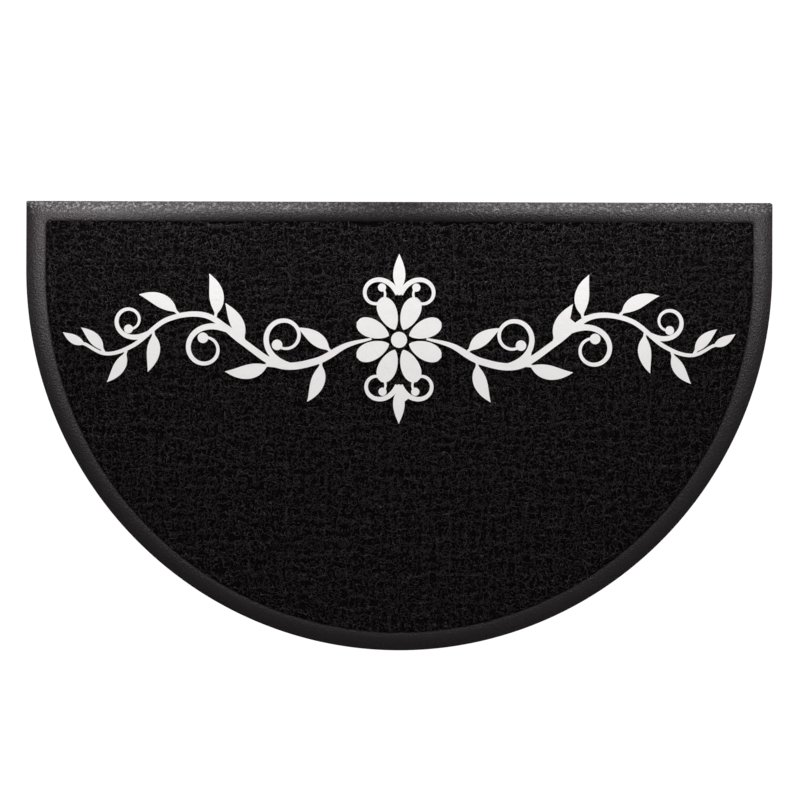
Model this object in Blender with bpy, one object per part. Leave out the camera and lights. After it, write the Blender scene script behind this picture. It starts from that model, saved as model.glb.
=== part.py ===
"""Half moon doormat: a panel of looped vinyl pile held in a moulded border.

Metres, +Z up. +X runs along the straight edge and +Y points out of it. The origin is on
the floor, under the middle of the mat.
"""

import math
from collections import namedtuple

import bmesh
import bpy

# The outline is a straight edge, two short straight sides and a half ellipse.
HALF_WIDTH = 0.381
SIDE_STRAIGHT = 0.070
ARC_DEPTH = 0.388
ARC_SEGMENTS = 96
# The two corners of the straight edge are rounded a little more towards the pile.
LEFT_CORNER_RADIUS = 0.0012
RIGHT_CORNER_RADIUS = 0.0028
PILE_CORNER_RADIUS = 0.0045
CORNER_SEGMENTS = 5

# The border rises from a thin outer wall over a domed ramp to a crest, and rolls over into
# the pile.
BORDER_WIDTH = 0.0190
WALL_HEIGHT = 0.0022
CREST_HEIGHT = 0.0096
EDGE_ROUNDING = 0.0006

# The pile panel stands just inside the border and is rounded over along its rim.
PANEL_GAP = 0.0003
PILE_HEIGHT = 0.0088
RIM_HEIGHT = 0.0066
RIM_RISE = PILE_HEIGHT - RIM_HEIGHT
RIM_WIDTH = 0.0030

EDGE_Y = (SIDE_STRAIGHT + ARC_DEPTH) / 2
ARC_Y = EDGE_Y - SIDE_STRAIGHT
PANEL_INSET = BORDER_WIDTH + PANEL_GAP

Row = namedtuple("Row", "inset height")

# The border's section, from its outer foot over the crest to its inner foot.
BORDER_SECTION = (
    Row(inset=EDGE_ROUNDING, height=0),
    Row(inset=0, height=EDGE_ROUNDING),
    Row(inset=0, height=WALL_HEIGHT - EDGE_ROUNDING),
    Row(inset=EDGE_ROUNDING, height=WALL_HEIGHT),
    Row(inset=0.24 * BORDER_WIDTH, height=0.60 * CREST_HEIGHT),
    Row(inset=0.44 * BORDER_WIDTH, height=0.86 * CREST_HEIGHT),
    Row(inset=0.62 * BORDER_WIDTH, height=0.98 * CREST_HEIGHT),
    Row(inset=0.71 * BORDER_WIDTH, height=CREST_HEIGHT),
    Row(inset=0.83 * BORDER_WIDTH, height=0.98 * CREST_HEIGHT),
    Row(inset=0.92 * BORDER_WIDTH, height=0.91 * CREST_HEIGHT),
    Row(inset=0.98 * BORDER_WIDTH, height=0.78 * CREST_HEIGHT),
    Row(inset=BORDER_WIDTH, height=0.66 * CREST_HEIGHT),
    Row(inset=BORDER_WIDTH, height=0),
)

# The panel's edge, from its foot to where the level top begins.
PANEL_SECTION = (
    Row(inset=PANEL_INSET, height=0),
    Row(inset=PANEL_INSET, height=RIM_HEIGHT),
    Row(inset=PANEL_INSET + 0.12 * RIM_WIDTH, height=RIM_HEIGHT + 0.42 * RIM_RISE),
    Row(inset=PANEL_INSET + 0.45 * RIM_WIDTH, height=RIM_HEIGHT + 0.82 * RIM_RISE),
    Row(inset=PANEL_INSET + RIM_WIDTH, height=PILE_HEIGHT),
)


def corner_arc(side, inset):
    """The rounded corner of the straight edge at side +1 or -1, from the edge to the side."""
    outer = RIGHT_CORNER_RADIUS if side > 0 else LEFT_CORNER_RADIUS
    share = min(inset / BORDER_WIDTH, 1.0)
    radius = outer + share * (PILE_CORNER_RADIUS - outer)
    centre_x = HALF_WIDTH - inset - radius
    centre_y = EDGE_Y - inset - radius
    points = []
    for step in range(CORNER_SEGMENTS + 1):
        angle = math.pi / 2 * step / CORNER_SEGMENTS
        points.append(
            (
                side * (centre_x + radius * math.sin(angle)),
                centre_y + radius * math.cos(angle),
            )
        )
    return points


def half_moon(inset):
    """The outline's points at this distance inside it, clockwise from the left corner."""
    points = corner_arc(-1, inset)[::-1] + corner_arc(+1, inset)
    for step in range(ARC_SEGMENTS + 1):
        angle = math.pi * step / ARC_SEGMENTS
        across, down = math.cos(angle), math.sin(angle)
        length = math.hypot(ARC_DEPTH * across, HALF_WIDTH * down)
        points.append(
            (
                (HALF_WIDTH - inset * ARC_DEPTH / length) * across,
                ARC_Y - (ARC_DEPTH - inset * HALF_WIDTH / length) * down,
            )
        )
    return points


def add_ring(bm, row):
    """One closed ring of edges along the outline, at a section row's inset and height."""
    verts = [bm.verts.new((x, y, row.height)) for x, y in half_moon(row.inset)]
    return [bm.edges.new((a, b)) for a, b in zip(verts, verts[1:] + verts[:1])]


def bridge_rings(bm, rings):
    """Faces between each ring and the next."""
    for ring, following in zip(rings, rings[1:]):
        bmesh.ops.bridge_loops(bm, edges=ring + following)


def finish_piece(bm, name, collection, material):
    """Turns the mesh's faces outwards and makes it an object of the mat."""
    bmesh.ops.recalc_face_normals(bm, faces=bm.faces)
    mesh = bpy.data.meshes.new(name)
    bm.to_mesh(mesh)
    bm.free()
    mesh.shade_smooth()
    mesh.set_sharp_from_angle(angle=math.radians(40))
    mesh.materials.append(material)
    piece = bpy.data.objects.new(name, mesh)
    collection.objects.link(piece)
    return piece


def vinyl(name, colour, roughness):
    """A plain vinyl finish."""
    material = bpy.data.materials.new(name)
    material.use_nodes = True
    shader = material.node_tree.nodes["Principled BSDF"]
    shader.inputs["Base Color"].default_value = (*colour, 1)
    shader.inputs["Roughness"].default_value = roughness
    shader.inputs["Metallic"].default_value = 0
    return material


def moulded_border(collection):
    """The one-piece bevelled border, which goes all the way round the panel."""
    bm = bmesh.new()
    rings = [add_ring(bm, row) for row in BORDER_SECTION]
    bridge_rings(bm, rings + rings[:1])
    finish = vinyl("border vinyl", colour=(0.022, 0.022, 0.023), roughness=0.50)
    return finish_piece(bm, "moulded_border", collection, finish)


def coil_pile(collection):
    """The panel of looped vinyl strands, as the closed form that their tips reach."""
    bm = bmesh.new()
    rings = [add_ring(bm, row) for row in PANEL_SECTION]
    bridge_rings(bm, rings)
    for ring in (rings[0], rings[-1]):
        bmesh.ops.contextual_create(bm, geom=ring)
    finish = vinyl("coil vinyl", colour=(0.014, 0.014, 0.013), roughness=0.60)
    return finish_piece(bm, "coil_pile", collection, finish)


for leftover in list(bpy.data.objects):
    bpy.data.objects.remove(leftover)

doormat = bpy.data.collections.new("half moon doormat")
bpy.context.scene.collection.children.link(doormat)
moulded_border(doormat)
coil_pile(doormat)
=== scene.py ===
import math
from collections import namedtuple

import bmesh
import bpy
import numpy as np
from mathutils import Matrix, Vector, noise
from mathutils.bvhtree import BVHTree


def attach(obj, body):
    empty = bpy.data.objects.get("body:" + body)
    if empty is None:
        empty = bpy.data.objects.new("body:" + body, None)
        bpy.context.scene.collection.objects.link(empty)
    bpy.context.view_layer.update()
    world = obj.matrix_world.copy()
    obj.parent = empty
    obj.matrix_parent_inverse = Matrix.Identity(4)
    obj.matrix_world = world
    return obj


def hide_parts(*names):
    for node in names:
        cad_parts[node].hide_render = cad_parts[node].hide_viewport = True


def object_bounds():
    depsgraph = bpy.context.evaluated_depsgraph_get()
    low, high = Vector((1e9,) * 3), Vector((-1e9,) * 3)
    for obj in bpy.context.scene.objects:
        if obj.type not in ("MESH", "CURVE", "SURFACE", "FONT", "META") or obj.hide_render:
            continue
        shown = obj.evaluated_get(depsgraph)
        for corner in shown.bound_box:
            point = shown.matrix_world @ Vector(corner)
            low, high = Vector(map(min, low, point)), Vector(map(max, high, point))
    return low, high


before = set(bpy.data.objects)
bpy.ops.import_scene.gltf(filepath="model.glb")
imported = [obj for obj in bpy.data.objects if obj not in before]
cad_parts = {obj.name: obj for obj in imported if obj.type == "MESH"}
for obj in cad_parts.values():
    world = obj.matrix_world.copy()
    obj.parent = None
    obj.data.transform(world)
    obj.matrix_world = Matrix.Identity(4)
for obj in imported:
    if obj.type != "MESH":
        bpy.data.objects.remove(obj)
cad_low, cad_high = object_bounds()


# Studio. The mat lies on a pale floor and is seen from straight above. The light is soft: a
# dome that is brightest on the straight edge's side, two softboxes for the pile and five for
# the border. The photograph's 800 pixels span VIEW_WIDTH.
VIEW_WIDTH = 0.8174
VIEW_CENTRE = (0.00115, 0.02670)
VIEW_TURN = math.radians(0.17)
CAMERA_HEIGHT = 2.6
FLOOR_SIZE = 14.0
FLOOR_COLOUR = (0.10, 0.10, 0.10)
FLOOR_GLOW = 0.99
SIDE_LIGHT = 0.86
OVERHEAD_LIGHT = 0.56
FAR_SHARE = 0.78
NEAR_SHARE = 1.18
BRIGHT_SIDE = (0.60, 0.80, 0)

camera_data = bpy.data.cameras.new("camera")
camera = bpy.data.objects.new("camera", camera_data)
bpy.context.scene.collection.objects.link(camera)
camera_data.sensor_width = 36
camera_data.lens = camera_data.sensor_width * CAMERA_HEIGHT / VIEW_WIDTH
camera.location = (*VIEW_CENTRE, CAMERA_HEIGHT)
camera.rotation_euler = (0, 0, VIEW_TURN)
bpy.context.scene.camera = camera
bpy.context.scene.view_settings.view_transform = "Standard"

bpy.ops.object.select_all(action="DESELECT")
bpy.ops.mesh.primitive_plane_add(size=FLOOR_SIZE, location=(0, 0, 0))
floor = bpy.context.object
floor.name = "floor"
floor_paint = bpy.data.materials.new("floor_paint")
floor_paint.use_nodes = True
floor_shader = floor_paint.node_tree.nodes["Principled BSDF"]
floor_shader.inputs["Base Color"].default_value = (*FLOOR_COLOUR, 1)
floor_shader.inputs["Roughness"].default_value = 1.0
floor_shader.inputs["Specular IOR Level"].default_value = 0.0
floor_shader.inputs["Emission Color"].default_value = (1, 1, 1, 1)
floor_shader.inputs["Emission Strength"].default_value = FLOOR_GLOW
floor.data.materials.append(floor_paint)
floor.visible_glossy = False

world = bpy.data.worlds.new("studio")
world.use_nodes = True
bpy.context.scene.world = world
tree = world.node_tree
direction = tree.nodes.new("ShaderNodeTexCoord")
heights = tree.nodes.new("ShaderNodeSeparateXYZ")
dome = tree.nodes.new("ShaderNodeMapRange")
dome.interpolation_type = "SMOOTHSTEP"
dome.inputs["From Min"].default_value = 0.45
dome.inputs["From Max"].default_value = 0.85
dome.inputs["To Min"].default_value = SIDE_LIGHT
dome.inputs["To Max"].default_value = OVERHEAD_LIGHT
share = tree.nodes.new("ShaderNodeMapRange")
share.interpolation_type = "SMOOTHSTEP"
share.inputs["From Min"].default_value = -0.75
share.inputs["From Max"].default_value = 0.75
share.inputs["To Min"].default_value = FAR_SHARE
share.inputs["To Max"].default_value = NEAR_SHARE
towards = tree.nodes.new("ShaderNodeVectorMath")
towards.operation = "DOT_PRODUCT"
towards.inputs[1].default_value = BRIGHT_SIDE
above = tree.nodes.new("ShaderNodeMath")
above.operation = "GREATER_THAN"
above.inputs[1].default_value = 0
upper = tree.nodes.new("ShaderNodeMath")
upper.operation = "MULTIPLY"
strength = tree.nodes.new("ShaderNodeMath")
strength.operation = "MULTIPLY"
tree.links.new(direction.outputs["Generated"], heights.inputs["Vector"])
tree.links.new(heights.outputs["Z"], dome.inputs["Value"])
tree.links.new(direction.outputs["Generated"], towards.inputs[0])
tree.links.new(towards.outputs["Value"], share.inputs["Value"])
tree.links.new(heights.outputs["Z"], above.inputs[0])
tree.links.new(dome.outputs["Result"], upper.inputs[0])
tree.links.new(above.outputs["Value"], upper.inputs[1])
tree.links.new(upper.outputs["Value"], strength.inputs[0])
tree.links.new(share.outputs["Result"], strength.inputs[1])
tree.links.new(strength.outputs["Value"], tree.nodes["Background"].inputs["Strength"])
tree.nodes["Background"].inputs["Color"].default_value = (1, 1, 1, 1)

Softbox = namedtuple("Softbox", "x y z width depth power aim_x aim_y lights")
SOFTBOXES = (
    Softbox(-0.25, 0.45, 0.12, 0.34, 0.10, power=1.64, aim_x=-0.25, aim_y=0.20, lights="pile"),
    Softbox(+0.25, 0.45, 0.12, 0.34, 0.10, power=1.64, aim_x=+0.25, aim_y=0.20, lights="pile"),
    Softbox(-0.22, 0.300, 0.029, 0.34, 0.04, power=0.68, aim_x=-0.22, aim_y=0.22, lights="border"),
    Softbox(+0.22, 0.300, 0.029, 0.34, 0.04, power=0.66, aim_x=+0.22, aim_y=0.22, lights="border"),
    Softbox(-0.31, 0.22, 0.15, 0.08, 0.10, power=0.66, aim_x=-0.37, aim_y=0.20, lights="border"),
    Softbox(-0.41, 0.17, 0.17, 0.08, 0.14, power=0.26, aim_x=-0.37, aim_y=0.16, lights="border"),
    Softbox(+0.41, 0.22, 0.15, 0.08, 0.14, power=0.60, aim_x=+0.37, aim_y=0.18, lights="border"),
)
lit = {}
for row in SOFTBOXES:
    if row.lights not in lit:
        lit[row.lights] = bpy.data.collections.new(f"lit_{row.lights}")
    box_data = bpy.data.lights.new("softbox", "AREA")
    box_data.shape = "RECTANGLE"
    box_data.size = row.width
    box_data.size_y = row.depth
    box_data.energy = row.power
    softbox = bpy.data.objects.new("softbox", box_data)
    bpy.context.scene.collection.objects.link(softbox)
    softbox.visible_camera = False
    softbox.location = (row.x, row.y, row.z)
    aim = Vector((row.aim_x, row.aim_y, 0)) - softbox.location
    softbox.rotation_euler = aim.to_track_quat("-Z", "Y").to_euler()
    softbox.light_linking.receiver_collection = lit[row.lights]


# Border. One piece of black vinyl, moulded round the panel with a fine cast grain: a ramp
# that rises from a thin outer wall to a crest, and falls to the pile. It is drawn out ring
# by ring from the outline at its outer foot, and is a little wider by the straight edge.
HALF_WIDTH = cad_high.x
EDGE_Y = cad_high.y
SIDE_STRAIGHT = 0.070
ARC_DEPTH = 2 * EDGE_Y - SIDE_STRAIGHT
ARC_Y = EDGE_Y - SIDE_STRAIGHT
LEFT_CORNER_RADIUS = 0.0012
RIGHT_CORNER_RADIUS = 0.0028
PILE_CORNER_RADIUS = 0.0045
RIDGE_CORNER_SWELL = 0.0055
BORDER_WIDTH = 0.0190
INNER_SWELL = 0.0019
SWELL_BEGINS_Y = -0.09
SWELL_REACH = 0.25
CREST_SHARE = 0.71
CREST_HEIGHT = cad_high.z
WALL_HEIGHT = 0.0022
EDGE_ROUNDING = 0.0006
RING_SPACING = 0.0030
CORNER_POINTS = 7

Row = namedtuple("Row", "inset height")
BORDER_ROWS = (
    Row(inset=EDGE_ROUNDING, height=0),
    Row(inset=0.3 * EDGE_ROUNDING, height=0.3 * EDGE_ROUNDING),
    Row(inset=0, height=EDGE_ROUNDING),
    Row(inset=0, height=WALL_HEIGHT - 1.2 * EDGE_ROUNDING),
    Row(inset=0.35 * EDGE_ROUNDING, height=WALL_HEIGHT - 0.35 * EDGE_ROUNDING),
    Row(inset=1.3 * EDGE_ROUNDING, height=WALL_HEIGHT + 0.5 * EDGE_ROUNDING),
    Row(inset=0.14 * BORDER_WIDTH, height=0.430 * CREST_HEIGHT),
    Row(inset=0.24 * BORDER_WIDTH, height=0.600 * CREST_HEIGHT),
    Row(inset=0.34 * BORDER_WIDTH, height=0.745 * CREST_HEIGHT),
    Row(inset=0.44 * BORDER_WIDTH, height=0.860 * CREST_HEIGHT),
    Row(inset=0.53 * BORDER_WIDTH, height=0.935 * CREST_HEIGHT),
    Row(inset=0.62 * BORDER_WIDTH, height=0.980 * CREST_HEIGHT),
    Row(inset=CREST_SHARE * BORDER_WIDTH, height=CREST_HEIGHT),
    Row(inset=0.77 * BORDER_WIDTH, height=0.997 * CREST_HEIGHT),
    Row(inset=0.83 * BORDER_WIDTH, height=0.980 * CREST_HEIGHT),
    Row(inset=0.88 * BORDER_WIDTH, height=0.952 * CREST_HEIGHT),
    Row(inset=0.92 * BORDER_WIDTH, height=0.910 * CREST_HEIGHT),
    Row(inset=0.96 * BORDER_WIDTH, height=0.840 * CREST_HEIGHT),
    Row(inset=0.985 * BORDER_WIDTH, height=0.760 * CREST_HEIGHT),
    Row(inset=BORDER_WIDTH, height=0.660 * CREST_HEIGHT),
    Row(inset=BORDER_WIDTH, height=0.330 * CREST_HEIGHT),
    Row(inset=BORDER_WIDTH, height=0),
)


def corner_arc(side, inset):
    """The rounded corner of the straight edge at side +1 or -1, from the edge to the side."""
    outer = RIGHT_CORNER_RADIUS if side > 0 else LEFT_CORNER_RADIUS
    share = min(inset / BORDER_WIDTH, 1.0)
    radius = outer + share * (PILE_CORNER_RADIUS - outer)
    radius += RIDGE_CORNER_SWELL * math.sin(math.pi * share)
    angle = np.linspace(0, math.pi / 2, CORNER_POINTS)
    x = side * (HALF_WIDTH - inset - radius * (1 - np.sin(angle)))
    y = EDGE_Y - inset - radius * (1 - np.cos(angle))
    return np.stack([x, y], 1)


def ring_inside(inset):
    """The outline's points at this distance inside it, clockwise from the left corner."""
    left, right = corner_arc(-1, inset)[::-1], corner_arc(+1, inset)
    edge_count = round(2 * HALF_WIDTH / RING_SPACING)
    edge = np.linspace(left[-1], right[0], edge_count)[1:-1]
    side_count = round(SIDE_STRAIGHT / RING_SPACING)
    arc_count = 2 * round(0.5 * math.pi * HALF_WIDTH / RING_SPACING)
    angle = np.linspace(0, math.pi, arc_count + 1)
    across, down = np.cos(angle), np.sin(angle)
    length = np.hypot(ARC_DEPTH * across, HALF_WIDTH * down)
    arc_x = (HALF_WIDTH - inset * ARC_DEPTH / length) * across
    arc_y = ARC_Y - (ARC_DEPTH - inset * HALF_WIDTH / length) * down
    arc = np.stack([arc_x, arc_y], 1)
    right_side = np.linspace(right[-1], arc[0], side_count)[1:-1]
    left_side = np.linspace(arc[-1], left[0], side_count)[1:-1]
    return np.concatenate([left, edge, right, right_side, arc, left_side])


def swell_share(y):
    """How far the border's inner slope is drawn out: fully by the straight edge."""
    share = np.clip((y - SWELL_BEGINS_Y) / SWELL_REACH, 0, 1)
    return share**2 * (3 - 2 * share)


def half_moon(inset):
    """The points of one ring, drawn out past the crest where the border is wider."""
    plain = ring_inside(inset)
    past_crest = np.clip((inset / BORDER_WIDTH - CREST_SHARE) / (1 - CREST_SHARE), 0, 1)
    wide = ring_inside(inset + INNER_SWELL * past_crest)
    return plain + swell_share(plain[:, 1])[:, None] * (wide - plain)


def depth_inside(x, y):
    """About how far each place lies inside the mat's outline."""
    reach = np.hypot(x / HALF_WIDTH, (ARC_Y - y) / ARC_DEPTH)
    slope = np.hypot(x / HALF_WIDTH**2, (ARC_Y - y) / ARC_DEPTH**2)
    from_arc = (1 - reach) * reach / np.maximum(slope, 1e-6)
    from_side = np.where(y > ARC_Y, HALF_WIDTH - np.abs(x), from_arc)
    return np.minimum(from_side, EDGE_Y - y)


def start_ring(name, row, fill):
    """A new object with one ring of vertices on the outline, each with its own number."""
    outline = half_moon(row.inset)
    bpy.ops.object.select_all(action="DESELECT")
    bpy.ops.mesh.primitive_circle_add(vertices=len(outline), fill_type=fill)
    ring = bpy.context.object
    ring.name = name
    station = ring.data.attributes.new("station", "INT", "POINT")
    station.data.foreach_set("value", np.arange(len(outline), dtype=np.int32))
    for vertex, (x, y) in zip(ring.data.vertices, outline):
        vertex.co = (x, y, row.height)
    return ring


def extrude_ring(piece, row, uneven=None):
    """Extrudes the selected ring to the next row of a section, in edit mode."""
    bpy.ops.mesh.extrude_region()
    cage = bmesh.from_edit_mesh(piece.data)
    station = cage.verts.layers.int["station"]
    outline = half_moon(row.inset)
    for vertex in cage.verts:
        if vertex.select:
            x, y = outline[vertex[station]]
            vertex.co = (x, y, row.height)
            if uneven:
                vertex.co += uneven(vertex.co, row)
    bmesh.update_edit_mesh(piece.data)


WAVE_SCALE = 22
RIPPLE_SCALE = 160
INWARD_WAVE, INWARD_RIPPLE = 0.00025, 0.00055
UPWARD_WAVE, UPWARD_RIPPLE = 0.00010, 0.00004
WAVE_BEGINS = 0.7
MAT_MIDDLE_Y = ARC_Y * 0.3


def moulding_wave(place, row):
    """The slight unevenness of the moulding, most where it runs out among the strands."""
    wave = noise.noise(place * WAVE_SCALE)
    ripple = noise.noise(place * RIPPLE_SCALE)
    inner = max(row.inset / BORDER_WIDTH - WAVE_BEGINS, 0) / (1 - WAVE_BEGINS)
    rise = row.height / CREST_HEIGHT
    inward = -Vector((place.x, place.y - MAT_MIDDLE_Y, 0)).normalized()
    moved = inward * inner**2 * (INWARD_WAVE * wave + INWARD_RIPPLE * ripple)
    moved.z = rise * (UPWARD_WAVE * (wave - 1) + UPWARD_RIPPLE * ripple)
    return moved


border = start_ring("border", BORDER_ROWS[0], "NOTHING")
bpy.ops.object.mode_set(mode="EDIT")
bpy.ops.mesh.select_all(action="SELECT")
for row in BORDER_ROWS[1:]:
    extrude_ring(border, row, moulding_wave)
extrude_ring(border, BORDER_ROWS[0])
bpy.ops.mesh.select_all(action="SELECT")
bpy.ops.mesh.remove_doubles(threshold=0.00001)
bpy.ops.mesh.normals_make_consistent(inside=False)
bpy.ops.object.mode_set(mode="OBJECT")
bpy.ops.object.shade_smooth_by_angle(angle=math.radians(50))

border_vinyl = bpy.data.materials.new("border_vinyl")
border_vinyl.use_nodes = True
tree = border_vinyl.node_tree
shader = tree.nodes["Principled BSDF"]
shader.inputs["Specular IOR Level"].default_value = 0.22
place = tree.nodes.new("ShaderNodeTexCoord")
cloud = tree.nodes.new("ShaderNodeTexNoise")
cloud.inputs["Scale"].default_value = 60
cloud.inputs["Detail"].default_value = 3
tone = tree.nodes.new("ShaderNodeMix")
tone.data_type = "RGBA"
tone.inputs["A"].default_value = (0.0062, 0.0044, 0.0051, 1)
tone.inputs["B"].default_value = (0.0092, 0.0067, 0.0077, 1)
tree.links.new(place.outputs["Object"], cloud.inputs["Vector"])
tree.links.new(cloud.outputs["Fac"], tone.inputs["Factor"])
grain = tree.nodes.new("ShaderNodeTexNoise")
grain.inputs["Scale"].default_value = 520
grain.inputs["Detail"].default_value = 2
grain.inputs["Roughness"].default_value = 0.60
pits = tree.nodes.new("ShaderNodeMapRange")
pits.inputs["From Min"].default_value = 0.35
pits.inputs["From Max"].default_value = 0.65
pits.inputs["To Min"].default_value = 0.85
pits.inputs["To Max"].default_value = 1.15
shine = tree.nodes.new("ShaderNodeMapRange")
shine.inputs["From Min"].default_value = 0.41
shine.inputs["From Max"].default_value = 0.64
shine.inputs["To Min"].default_value = 0.58
shine.inputs["To Max"].default_value = 0.25
speckle = tree.nodes.new("ShaderNodeVectorMath")
speckle.operation = "SCALE"
bump = tree.nodes.new("ShaderNodeBump")
bump.inputs["Strength"].default_value = 1.0
bump.inputs["Distance"].default_value = 0.0018
tree.links.new(place.outputs["Object"], grain.inputs["Vector"])
tree.links.new(grain.outputs["Fac"], pits.inputs["Value"])
tree.links.new(tone.outputs["Result"], speckle.inputs[0])
tree.links.new(pits.outputs["Result"], speckle.inputs["Scale"])
# Painted glints: pale grey flecks are mixed into the colour over the outer half of the strip by
# the straight edge, where the low softboxes light its ramp.
across = tree.nodes.new("ShaderNodeSeparateXYZ")
by_edge = tree.nodes.new("ShaderNodeMapRange")
by_edge.interpolation_type = "SMOOTHSTEP"
by_edge.inputs["From Min"].default_value = EDGE_Y - 0.0150
by_edge.inputs["From Max"].default_value = EDGE_Y - 0.0070
glint_noise = tree.nodes.new("ShaderNodeTexNoise")
glint_noise.inputs["Scale"].default_value = 320
glint_noise.inputs["Detail"].default_value = 2
glint_flecks = tree.nodes.new("ShaderNodeMapRange")
glint_flecks.inputs["From Min"].default_value = 0.50
glint_flecks.inputs["From Max"].default_value = 0.74
painted_glint_mask = tree.nodes.new("ShaderNodeMath")
painted_glint_mask.operation = "MULTIPLY"
painted_glint = tree.nodes.new("ShaderNodeMix")
painted_glint.data_type = "RGBA"
painted_glint.inputs["B"].default_value = (0.076, 0.073, 0.0745, 1)
tree.links.new(place.outputs["Object"], across.inputs["Vector"])
tree.links.new(across.outputs["Y"], by_edge.inputs["Value"])
tree.links.new(place.outputs["Object"], glint_noise.inputs["Vector"])
tree.links.new(glint_noise.outputs["Fac"], glint_flecks.inputs["Value"])
tree.links.new(by_edge.outputs["Result"], painted_glint_mask.inputs[0])
tree.links.new(glint_flecks.outputs["Result"], painted_glint_mask.inputs[1])
tree.links.new(painted_glint_mask.outputs["Value"], painted_glint.inputs["Factor"])
tree.links.new(speckle.outputs["Vector"], painted_glint.inputs["A"])
tree.links.new(painted_glint.outputs["Result"], shader.inputs["Base Color"])
tree.links.new(grain.outputs["Fac"], shine.inputs["Value"])
tree.links.new(shine.outputs["Result"], shader.inputs["Roughness"])
tree.links.new(grain.outputs["Fac"], bump.inputs["Height"])
tree.links.new(bump.outputs["Normal"], shader.inputs["Normal"])
border.data.materials.append(border_vinyl)
lit["border"].objects.link(border)
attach(border, "root")
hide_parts("moulded_border")


# Under layer. The lower half of the panel, where the strands lie fused together in a mat
# too dense to see through. Its underside is the mat's own, and plain. It grips the border.
PANEL_INSET = BORDER_WIDTH + 0.0003
GRIP = 0.0007
UNDER_HEIGHT = 0.0056
UNDER_ROWS = (
    Row(inset=PANEL_INSET, height=0),
    Row(inset=PANEL_INSET, height=0.25 * UNDER_HEIGHT),
    Row(inset=BORDER_WIDTH - GRIP, height=0.35 * UNDER_HEIGHT),
    Row(inset=BORDER_WIDTH - GRIP, height=0.92 * UNDER_HEIGHT),
    Row(inset=BORDER_WIDTH, height=UNDER_HEIGHT),
)

under_layer = start_ring("under_layer", UNDER_ROWS[0], "NGON")
bpy.ops.object.mode_set(mode="EDIT")
bpy.ops.mesh.select_all(action="SELECT")
for row in UNDER_ROWS[1:]:
    extrude_ring(under_layer, row)
bpy.ops.mesh.select_all(action="SELECT")
bpy.ops.mesh.normals_make_consistent(inside=False)
bpy.ops.object.mode_set(mode="OBJECT")

under_vinyl = bpy.data.materials.new("under_vinyl")
under_vinyl.use_nodes = True
tree = under_vinyl.node_tree
shader = tree.nodes["Principled BSDF"]
shader.inputs["Roughness"].default_value = 0.85
shader.inputs["Specular IOR Level"].default_value = 0.06
place = tree.nodes.new("ShaderNodeTexCoord")
curl_wander = tree.nodes.new("ShaderNodeTexNoise")
curl_wander.inputs["Scale"].default_value = 190
curl_wander.inputs["Detail"].default_value = 1
wandered = tree.nodes.new("ShaderNodeVectorMath")
wandered.operation = "MULTIPLY_ADD"
wandered.inputs[1].default_value = (0.006, 0.006, 0.006)
strands_below = tree.nodes.new("ShaderNodeTexVoronoi")
strands_below.feature = "DISTANCE_TO_EDGE"
strands_below.inputs["Scale"].default_value = 400
# Painted shade: the middle of each cell, a hole between the strands drawn at the cell edges, is
# nearly black, as if in the shadow of the pile above it.
shaded_holes = tree.nodes.new("ShaderNodeMapRange")
shaded_holes.inputs["From Min"].default_value = 0.06
shaded_holes.inputs["From Max"].default_value = 0.22
tone = tree.nodes.new("ShaderNodeMix")
tone.data_type = "RGBA"
tone.inputs["A"].default_value = (0.0052, 0.0037, 0.0042, 1)
tone.inputs["B"].default_value = (0.0004, 0.0003, 0.0003, 1)
bump = tree.nodes.new("ShaderNodeBump")
bump.inputs["Strength"].default_value = 0.8
bump.inputs["Distance"].default_value = 0.0015
bump.invert = True
tree.links.new(place.outputs["Object"], curl_wander.inputs["Vector"])
tree.links.new(curl_wander.outputs["Color"], wandered.inputs[0])
tree.links.new(place.outputs["Object"], wandered.inputs[2])
tree.links.new(wandered.outputs["Vector"], strands_below.inputs["Vector"])
tree.links.new(strands_below.outputs["Distance"], shaded_holes.inputs["Value"])
tree.links.new(shaded_holes.outputs["Result"], tone.inputs["Factor"])
tree.links.new(tone.outputs["Result"], shader.inputs["Base Color"])
tree.links.new(strands_below.outputs["Distance"], bump.inputs["Height"])
tree.links.new(bump.outputs["Normal"], shader.inputs["Normal"])
under_layer.data.materials.append(under_vinyl)
lit["pile"].objects.link(under_layer)
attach(under_layer, "root")
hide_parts("coil_pile")


# Ornament. A leafy vine with curls and a flower in its middle, printed in white ink that
# fills the tops of the strands and lies on them as a thin, slightly uneven skin. It is
# drawn as flat shapes, alike on the left and the right, which are joined into one.
INK_TOP = 0.00895
INK_DEPTH = 0.0013
INK_CENTRE_Y = 0.088
INK_HALF_HEIGHT = 0.095
INK_UNEVEN = 0.00012
INK_STEP = 0.00002
COIL_BUMPS = 420
LOOP_BUMPS = 130
EDGE_POINTS = 24
CURL_POINTS = 84
CURVE_STEPS = 24
DOT_POINTS = 20
LONGEST_INK_EDGE = 0.0042

ink_shapes = []


def add_shape(outline):
    """A sheet of ink with this outline, in metres about the ornament's centre.

    Each sheet is a little thicker than the one before, so that no two faces share a plane
    when they are joined. The skin that is left is levelled afterwards.
    """
    thicker = len(ink_shapes) * INK_STEP
    bpy.ops.object.select_all(action="DESELECT")
    bpy.ops.mesh.primitive_circle_add(vertices=len(outline), fill_type="NGON")
    shape = bpy.context.object
    for vertex, (x, y) in zip(shape.data.vertices, outline):
        vertex.co = (x, y + INK_CENTRE_Y, INK_TOP - INK_DEPTH - thicker)
    rise = INK_DEPTH + 2 * thicker
    bpy.ops.object.mode_set(mode="EDIT")
    bpy.ops.mesh.select_all(action="SELECT")
    bpy.ops.mesh.extrude_region_move(TRANSFORM_OT_translate={"value": (0, 0, rise)})
    bpy.ops.mesh.select_all(action="SELECT")
    bpy.ops.mesh.normals_make_consistent(inside=False)
    bpy.ops.object.mode_set(mode="OBJECT")
    ink_shapes.append(shape)


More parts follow.
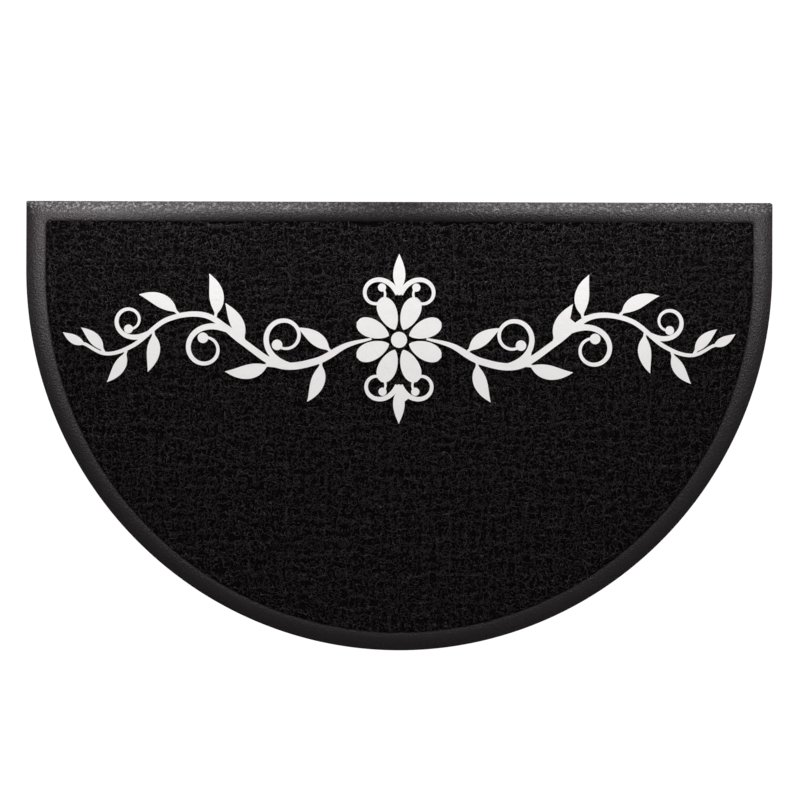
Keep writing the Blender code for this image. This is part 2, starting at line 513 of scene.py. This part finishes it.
def brush(points, widths):
    """The outline of a brush stroke along these points, with its width at each."""
    points, widths = np.asarray(points, float), np.asarray(widths, float)
    along = np.gradient(points, axis=0)
    along /= np.linalg.norm(along, axis=1)[:, None]
    across = np.stack([-along[:, 1], along[:, 0]], 1) * widths[:, None] / 2
    return np.concatenate([points + across, (points - across)[::-1]])


def smooth_line(knots, count):
    """Points evenly along a smooth curve through these knots."""
    knots = [Vector((x, y, 0)) for x, y in knots]
    ends = [2 * knots[0] - knots[1], *knots, 2 * knots[-1] - knots[-2]]
    points = []
    for before, start, stop, after in zip(ends, ends[1:], ends[2:], ends[3:]):
        for share in np.linspace(0, 1, CURVE_STEPS, endpoint=False):
            near = (stop - before) / 2
            far = (after - start) / 2
            s2, s3 = share**2, share**3
            point = (
                (2 * s3 - 3 * s2 + 1) * start
                + (s3 - 2 * s2 + share) * near
                + (3 * s2 - 2 * s3) * stop
                + (s3 - s2) * far
            )
            points.append(point[:2])
    points.append(knots[-1][:2])
    points = np.array(points)
    run = np.concatenate([[0], np.cumsum(np.linalg.norm(np.diff(points, axis=0), axis=1))])
    wanted = np.linspace(0, run[-1], count)
    return np.stack([np.interp(wanted, run, points[:, i]) for i in (0, 1)], 1)


def leaf(base, angle, length, width, bend=0.0, stalk=0.12):
    """A pointed leaf on a short stalk, whose midrib turns by bend from base to tip."""
    share = np.linspace(0, 1, EDGE_POINTS)
    heading = angle + bend * (share - 0.3)
    step = length / (EDGE_POINTS - 1)
    midrib = np.cumsum(np.stack([np.cos(heading), np.sin(heading)], 1) * step, 0)
    midrib = np.asarray(base) + midrib - midrib[0]
    blade = np.clip((share - stalk) / (1 - stalk), 0, 1)
    belly = np.sin(math.pi * blade**0.80) ** 0.95
    widths = np.maximum(width * belly, 0.0026 * (1 - blade) + 0.0003)
    add_shape(brush(midrib, widths))


def dot(centre, radius):
    """A round berry."""
    angle = np.linspace(0, 2 * math.pi, DOT_POINTS, endpoint=False)
    add_shape(np.asarray(centre) + radius * np.stack([np.cos(angle), np.sin(angle)], 1))


def curl(start, angle, length, turn, width, berry):
    """A stroke that springs from the stem and winds in, ever tighter, to a round berry."""
    share = np.linspace(0, 1, CURL_POINTS)
    heading = angle + turn * share**1.5
    moves = np.stack([np.cos(heading), np.sin(heading)], 1) * length / (CURL_POINTS - 1)
    points = np.asarray(start) + np.cumsum(moves, 0) - moves[0]
    add_shape(brush(points, width * (1.0 - 0.62 * share)))
    dot(points[-1], berry)


PETALS = 8
PETAL_REACH = 0.0435
PETAL_WIDTH = 0.0192
FLOWER_HEART = 0.0082
petal_share = np.linspace(0, 1, EDGE_POINTS)
petal_widths = PETAL_WIDTH * np.sqrt(np.clip(1 - (2 * petal_share**1.35 - 1) ** 2, 0, 1))
for number in range(PETALS):
    turn = 2 * math.pi * (number + 0.5) / PETALS
    ray = np.array([math.cos(turn), math.sin(turn)])
    reach = FLOWER_HEART + 0.0030 + (PETAL_REACH - FLOWER_HEART) * petal_share
    add_shape(brush(reach[:, None] * ray, np.maximum(petal_widths, 0.0008)))
dot((0, 0), FLOWER_HEART)

for up, size in ((+1, 1.0), (-1, 0.95)):
    leaf((0, 0.0455 * up), up * math.pi / 2, 0.042 * size, 0.0125 * size)
    for side in (-1, +1):
        heading = math.pi / 2 - side * math.pi / 2 + side * up * math.radians(62)
        turn = -up * side * 6.6
        curl((0.0012 * side, 0.0465 * up), heading, 0.088 * size, turn, 0.0056, 0.0042)

STEM_KNOTS = (
    (0.028, 0.001),
    (0.054, -0.006),
    (0.084, -0.022),
    (0.122, -0.026),
    (0.160, -0.002),
    (0.196, 0.024),
    (0.236, 0.020),
    (0.270, -0.006),
    (0.298, -0.015),
    (0.322, -0.004),
)
STEM_WIDTHS = (0.0020, 0.0068, 0.0074, 0.0068, 0.0061, 0.0053, 0.0046, 0.0039, 0.0031)
STEM_POINTS = 200
Leaf = namedtuple("Leaf", "along lean length width bend")
LEAVES = (
    Leaf(along=0.13, lean=74, length=0.044, width=0.0136, bend=-0.4),
    Leaf(along=0.17, lean=-58, length=0.046, width=0.0140, bend=0.7),
    Leaf(along=0.33, lean=-48, length=0.050, width=0.0146, bend=0.8),
    Leaf(along=0.43, lean=32, length=0.046, width=0.0136, bend=-0.3),
    Leaf(along=0.55, lean=62, length=0.048, width=0.0146, bend=-0.8),
    Leaf(along=0.66, lean=50, length=0.048, width=0.0140, bend=-0.8),
    Leaf(along=0.76, lean=-50, length=0.044, width=0.0132, bend=0.6),
    Leaf(along=0.86, lean=-42, length=0.040, width=0.0118, bend=0.6),
    Leaf(along=0.93, lean=46, length=0.036, width=0.0110, bend=-0.5),
    Leaf(along=0.99, lean=-6, length=0.028, width=0.0092, bend=0.3),
)
Curl = namedtuple("Curl", "along lean length turn width berry")
CURLS = (
    Curl(along=0.27, lean=20, length=0.124, turn=6.7, width=0.0066, berry=0.0054),
    Curl(along=0.50, lean=-22, length=0.122, turn=-6.8, width=0.0066, berry=0.0054),
    Curl(along=0.78, lean=18, length=0.094, turn=6.8, width=0.0056, berry=0.0045),
)
stem = smooth_line(STEM_KNOTS, STEM_POINTS)
stroke = stem[::2]
knot_places = np.linspace(0, len(STEM_WIDTHS) - 1, len(stroke))
stroke_widths = np.interp(knot_places, range(len(STEM_WIDTHS)), STEM_WIDTHS)
for side in (-1, +1):
    mirror = np.array([side, 1])
    add_shape(brush(stroke * mirror, stroke_widths))
    for row in LEAVES + CURLS:
        index = round(row.along * (STEM_POINTS - 2))
        along = stem[index + 1] - stem[index - 1]
        heading = math.atan2(along[1], along[0]) + math.radians(row.lean)
        if side < 0:
            heading = math.pi - heading
        if isinstance(row, Leaf):
            leaf(stem[index] * mirror, heading, row.length, row.width, side * row.bend)
        else:
            turn = side * row.turn
            curl(stem[index] * mirror, heading, row.length, turn, row.width, row.berry)

ink_parts = bpy.data.collections.new("ink_parts")
bpy.context.scene.collection.children.link(ink_parts)
ornament = ink_shapes[0]
ornament.name = "printed_ornament"
for shape in ink_shapes[1:]:
    shape.users_collection[0].objects.unlink(shape)
    ink_parts.objects.link(shape)
bpy.ops.object.select_all(action="DESELECT")
ornament.select_set(True)
bpy.context.view_layer.objects.active = ornament
union = ornament.modifiers.new("union", "BOOLEAN")
union.operation = "UNION"
union.operand_type = "COLLECTION"
union.collection = ink_parts
bpy.ops.object.modifier_apply(modifier="union")
for shape in ink_shapes[1:]:
    bpy.data.objects.remove(shape)
bpy.data.collections.remove(ink_parts)

bpy.ops.object.mode_set(mode="EDIT")
bpy.ops.mesh.select_all(action="DESELECT")
skin = bmesh.from_edit_mesh(ornament.data)
for face in skin.faces:
    face.select_set(face.normal.z < 0.5)
bmesh.update_edit_mesh(ornament.data)
bpy.ops.mesh.delete(type="FACE")
skin = bmesh.from_edit_mesh(ornament.data)
for vertex in skin.verts:
    vertex.co.z = INK_TOP
bmesh.update_edit_mesh(ornament.data)
bpy.ops.mesh.select_all(action="SELECT")
bpy.ops.mesh.remove_doubles(threshold=0.0002)
bpy.ops.mesh.dissolve_limited(angle_limit=math.radians(0.5))
bpy.ops.mesh.quads_convert_to_tris()
for _ in range(5):
    bpy.ops.mesh.select_all(action="DESELECT")
    skin = bmesh.from_edit_mesh(ornament.data)
    for edge in skin.edges:
        edge.select_set(edge.calc_length() > LONGEST_INK_EDGE)
    bmesh.update_edit_mesh(ornament.data)
    if not any(edge.select for edge in skin.edges):
        break
    bpy.ops.mesh.subdivide()
    bpy.ops.mesh.select_all(action="SELECT")
    bpy.ops.mesh.quads_convert_to_tris()
    bpy.ops.mesh.beautify_fill()
bpy.ops.object.mode_set(mode="OBJECT")
ink_map = BVHTree.FromObject(ornament, bpy.context.evaluated_depsgraph_get())
bpy.ops.object.mode_set(mode="EDIT")
bpy.ops.mesh.select_all(action="SELECT")
bpy.ops.mesh.extrude_region_move(TRANSFORM_OT_translate={"value": (0, 0, -INK_DEPTH)})
bpy.ops.mesh.select_all(action="SELECT")
bpy.ops.mesh.normals_make_consistent(inside=False)
bpy.ops.object.mode_set(mode="OBJECT")
for vertex in ornament.data.vertices:
    if vertex.co.z > INK_TOP - INK_DEPTH / 2:
        rough = noise.noise(vertex.co * COIL_BUMPS) + 0.6 * noise.noise(vertex.co * LOOP_BUMPS)
        vertex.co.z += INK_UNEVEN * rough
bpy.ops.object.shade_smooth_by_angle(angle=math.radians(40))

white_ink = bpy.data.materials.new("white_ink")
white_ink.use_nodes = True
tree = white_ink.node_tree
shader = tree.nodes["Principled BSDF"]
shader.inputs["Roughness"].default_value = 0.80
shader.inputs["Specular IOR Level"].default_value = 0.20
place = tree.nodes.new("ShaderNodeTexCoord")
cloud = tree.nodes.new("ShaderNodeTexNoise")
cloud.inputs["Scale"].default_value = 35
cloud.inputs["Detail"].default_value = 4
tone = tree.nodes.new("ShaderNodeMix")
tone.data_type = "RGBA"
tone.inputs["A"].default_value = (0.770, 0.743, 0.743, 1)
tone.inputs["B"].default_value = (0.812, 0.793, 0.793, 1)
bump = tree.nodes.new("ShaderNodeBump")
bump.inputs["Strength"].default_value = 0.25
bump.inputs["Distance"].default_value = 0.0003
coils = tree.nodes.new("ShaderNodeTexVoronoi")
coils.inputs["Scale"].default_value = 420
tree.links.new(place.outputs["Object"], cloud.inputs["Vector"])
tree.links.new(place.outputs["Object"], coils.inputs["Vector"])
tree.links.new(cloud.outputs["Fac"], tone.inputs["Factor"])
tree.links.new(tone.outputs["Result"], shader.inputs["Base Color"])
tree.links.new(coils.outputs["Distance"], bump.inputs["Height"])
tree.links.new(bump.outputs["Normal"], shader.inputs["Normal"])
ornament.data.materials.clear()
ornament.data.materials.append(white_ink)
lit["pile"].objects.link(ornament)
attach(ornament, "root")


# Coil strands. Black vinyl is drawn out in soft strands that fall in small loops, over and
# across one another, and fuse where they touch. Some run along the mat and some across it.
# A strand ends where it meets the border and lies lower where the ink covers it.
STRAND_RADIUS = 0.00036
STRAND_TOP = 0.0088
LOOP_RADIUS = 0.0017
LOOP_ADVANCE = 0.0036
LOOP_DEPTH = 0.0030
ALONG_SPACING = 0.0047
CROSS_SPACING = 0.0056
LOOP_POINTS = 7
TIGHTEST_LOOP, WIDEST_LOOP = 0.0008, 0.0032
OVER_BORDER = 0.0009
UNDER_INK = 0.0009
FEWEST_POINTS = 3
PIECE_TRIANGLES = 173000
draw = np.random.default_rng(7)

Drift = namedtuple("Drift", "every size")
TURNING = Drift(every=11, size=1.1)
RADIUS = Drift(every=6, size=0.0006)
ADVANCE = Drift(every=10, size=0.0009)
ROW_WANDER = Drift(every=33, size=0.0021)
LOOP_SCATTER = Drift(every=7, size=0.0013)
TILTING = Drift(every=9, size=1.8)
SINKING = Drift(every=9, size=0.0004)


def drift(count, kind):
    """Smooth random values, one for each point, with a new one drawn every few points."""
    knots = draw.normal(0, kind.size, count // kind.every + 3)
    return np.interp(np.arange(count) / kind.every, np.arange(len(knots)), knots)


def coiled_row(offset, length, crosswise):
    """The centre line of one strand, which coils along the mat or across it."""
    count = int(length / LOOP_ADVANCE) * LOOP_POINTS
    turned = 2 * math.pi * np.arange(count) / LOOP_POINTS
    turned = (turned + draw.uniform(0, 6.28) + drift(count, TURNING)) * draw.choice([-1, 1])
    radius = np.clip(LOOP_RADIUS + drift(count, RADIUS), TIGHTEST_LOOP, WIDEST_LOOP)
    line = np.empty((count, 3))
    line[:, 0] = np.linspace(-length / 2, length / 2, count) + drift(count, ADVANCE)
    line[:, 0] += radius * np.cos(turned)
    line[:, 1] = offset + drift(count, ROW_WANDER) + drift(count, LOOP_SCATTER)
    line[:, 1] += radius * np.sin(turned)
    if crosswise:
        line[:, :2] = line[:, 1::-1]
    tilt = turned + drift(count, TILTING) + draw.uniform(0, 6.28)
    sunk = 0.5 - 0.5 * np.sin(tilt)
    line[:, 2] = STRAND_TOP - STRAND_RADIUS - LOOP_DEPTH * sunk
    line[:, 2] -= np.abs(drift(count, SINKING))
    return line


def settle(line):
    """Lowers a strand under the ink, and says which of its points to keep."""
    inside = depth_inside(line[:, 0], line[:, 1]) - PANEL_INSET
    inside -= INNER_SWELL * swell_share(line[:, 1])
    top = np.full(len(line), STRAND_TOP - STRAND_RADIUS)
    keep = inside > -OVER_BORDER
    for number in np.flatnonzero(keep & (np.abs(line[:, 1] - INK_CENTRE_Y) < INK_HALF_HEIGHT)):
        x, y = line[number, :2]
        hit = ink_map.find_nearest((x, y, INK_TOP), UNDER_INK)
        if hit[0] is not None:
            top[number] = INK_TOP - INK_DEPTH - STRAND_RADIUS
    line[:, 2] = np.minimum(line[:, 2], top)
    return keep & (line[:, 2] > UNDER_HEIGHT - 0.6 * STRAND_RADIUS)


def tube(line):
    """Vertices and faces of a closed three-sided tube along this line."""
    along = np.gradient(line, axis=0)
    along /= np.linalg.norm(along, axis=1)[:, None]
    side = np.stack([along[:, 1], -along[:, 0], np.zeros(len(line))], 1)
    side /= np.maximum(np.linalg.norm(side, axis=1), 1e-9)[:, None]
    up = np.cross(side, along)
    rings = []
    for corner in range(3):
        angle = math.pi / 2 + 2 * math.pi * corner / 3
        rings.append(line + STRAND_RADIUS * (math.cos(angle) * side + math.sin(angle) * up))
    vertices = np.stack(rings, 1).reshape(-1, 3)
    first = np.arange(len(line) - 1)[:, None] * 3
    corner = np.arange(3)[None, :]
    near = first + corner
    nearby = first + (corner + 1) % 3
    faces = np.stack([near, nearby, nearby + 3, near + 3], 2)
    return vertices, faces[:, (0, 2)].reshape(-1, 4), faces[:, 1]


strand_vinyl = bpy.data.materials.new("strand_vinyl")
strand_vinyl.use_nodes = True
tree = strand_vinyl.node_tree
shader = tree.nodes["Principled BSDF"]
shader.inputs["Specular IOR Level"].default_value = 0.38
place = tree.nodes.new("ShaderNodeTexCoord")
heights = tree.nodes.new("ShaderNodeSeparateXYZ")
# Painted shade: the colour darkens from the strands' tops down towards the under layer, where the
# pile lies in its own shade. The pale noise patches mixed into the tops (glint) are painted
# glints.
depth = tree.nodes.new("ShaderNodeMapRange")
depth.interpolation_type = "SMOOTHSTEP"
depth.inputs["From Min"].default_value = 0.0054
depth.inputs["From Max"].default_value = 0.0087
cloud = tree.nodes.new("ShaderNodeTexNoise")
cloud.inputs["Scale"].default_value = 240
cloud.inputs["Detail"].default_value = 4
tone = tree.nodes.new("ShaderNodeMix")
tone.data_type = "RGBA"
tone.inputs["A"].default_value = (0.0066, 0.0044, 0.0052, 1)
tone.inputs["B"].default_value = (0.0830, 0.0587, 0.0675, 1)
glint = tree.nodes.new("ShaderNodeMapRange")
glint.inputs["From Min"].default_value = 0.47
glint.inputs["From Max"].default_value = 0.72
depth_shade = tree.nodes.new("ShaderNodeMix")
depth_shade.data_type = "RGBA"
depth_shade.inputs["A"].default_value = (0.0013, 0.0008, 0.0010, 1)
gloss = tree.nodes.new("ShaderNodeMapRange")
gloss.inputs["To Min"].default_value = 0.80
gloss.inputs["To Max"].default_value = 0.24
tree.links.new(place.outputs["Object"], cloud.inputs["Vector"])
tree.links.new(place.outputs["Object"], heights.inputs["Vector"])
tree.links.new(heights.outputs["Z"], depth.inputs["Value"])
tree.links.new(cloud.outputs["Fac"], glint.inputs["Value"])
tree.links.new(glint.outputs["Result"], tone.inputs["Factor"])
tree.links.new(depth.outputs["Result"], depth_shade.inputs["Factor"])
tree.links.new(tone.outputs["Result"], depth_shade.inputs["B"])
tree.links.new(depth_shade.outputs["Result"], shader.inputs["Base Color"])
tree.links.new(depth.outputs["Result"], gloss.inputs["Value"])
tree.links.new(gloss.outputs["Result"], shader.inputs["Roughness"])


def strand_piece(tubes):
    """One object of many tubes, with a flat map from above for its colour."""
    mesh = bpy.data.meshes.new(f"coil_strands_{len(strand_pieces) + 1}")
    lengths = [len(vertices) for vertices, _, _ in tubes]
    starts = np.cumsum([0, *lengths[:-1]])
    vertices = np.concatenate([vertices for vertices, _, _ in tubes])
    under = [under + start for (_, _, under), start in zip(tubes, starts)]
    flanks = [flanks + start for (_, flanks, _), start in zip(tubes, starts)]
    ends = []
    for start, length in zip(starts, lengths):
        ends.append((start + 2, start + 1, start))
        ends.append((start + length - 3, start + length - 2, start + length - 1))
    faces = np.concatenate(under + flanks).tolist() + np.array(ends).tolist()
    mesh.from_pydata(vertices, [], faces)
    corners = np.empty(len(mesh.loops), dtype=np.int32)
    mesh.loops.foreach_get("vertex_index", corners)
    low, high = vertices[:, :2].min(0), vertices[:, :2].max(0)
    flat = (vertices[corners, :2] - low) / (high - low)
    from_above = mesh.uv_layers.new(name="OFBake")
    from_above.uv.foreach_set("vector", flat.astype(np.float32).ravel())
    mesh.shade_smooth()
    mesh.materials.append(strand_vinyl)
    strands = bpy.data.objects.new(mesh.name, mesh)
    bpy.context.scene.collection.objects.link(strands)
    strand_pieces.append(strands)
    lit["pile"].objects.link(strands)
    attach(strands, "root")


strand_pieces = []
rows = [(y, 2 * HALF_WIDTH, False) for y in np.arange(-EDGE_Y, EDGE_Y, ALONG_SPACING)]
rows += [(x, 2 * EDGE_Y, True) for x in np.arange(-HALF_WIDTH, HALF_WIDTH, CROSS_SPACING)]
tubes, triangles = [], 0
for offset, length, crosswise in rows:
    line = coiled_row(offset, length, crosswise)
    keep = settle(line)
    cuts = np.flatnonzero(np.diff(np.concatenate([[False], keep, [False]]).astype(int)))
    for start, stop in zip(cuts[::2], cuts[1::2]):
        if stop - start > FEWEST_POINTS:
            tubes.append(tube(line[start:stop]))
            triangles += 6 * (stop - start)
    if triangles > PIECE_TRIANGLES:
        strand_piece(tubes)
        tubes, triangles = [], 0
strand_piece(tubes)

panel = half_moon(PANEL_INSET)
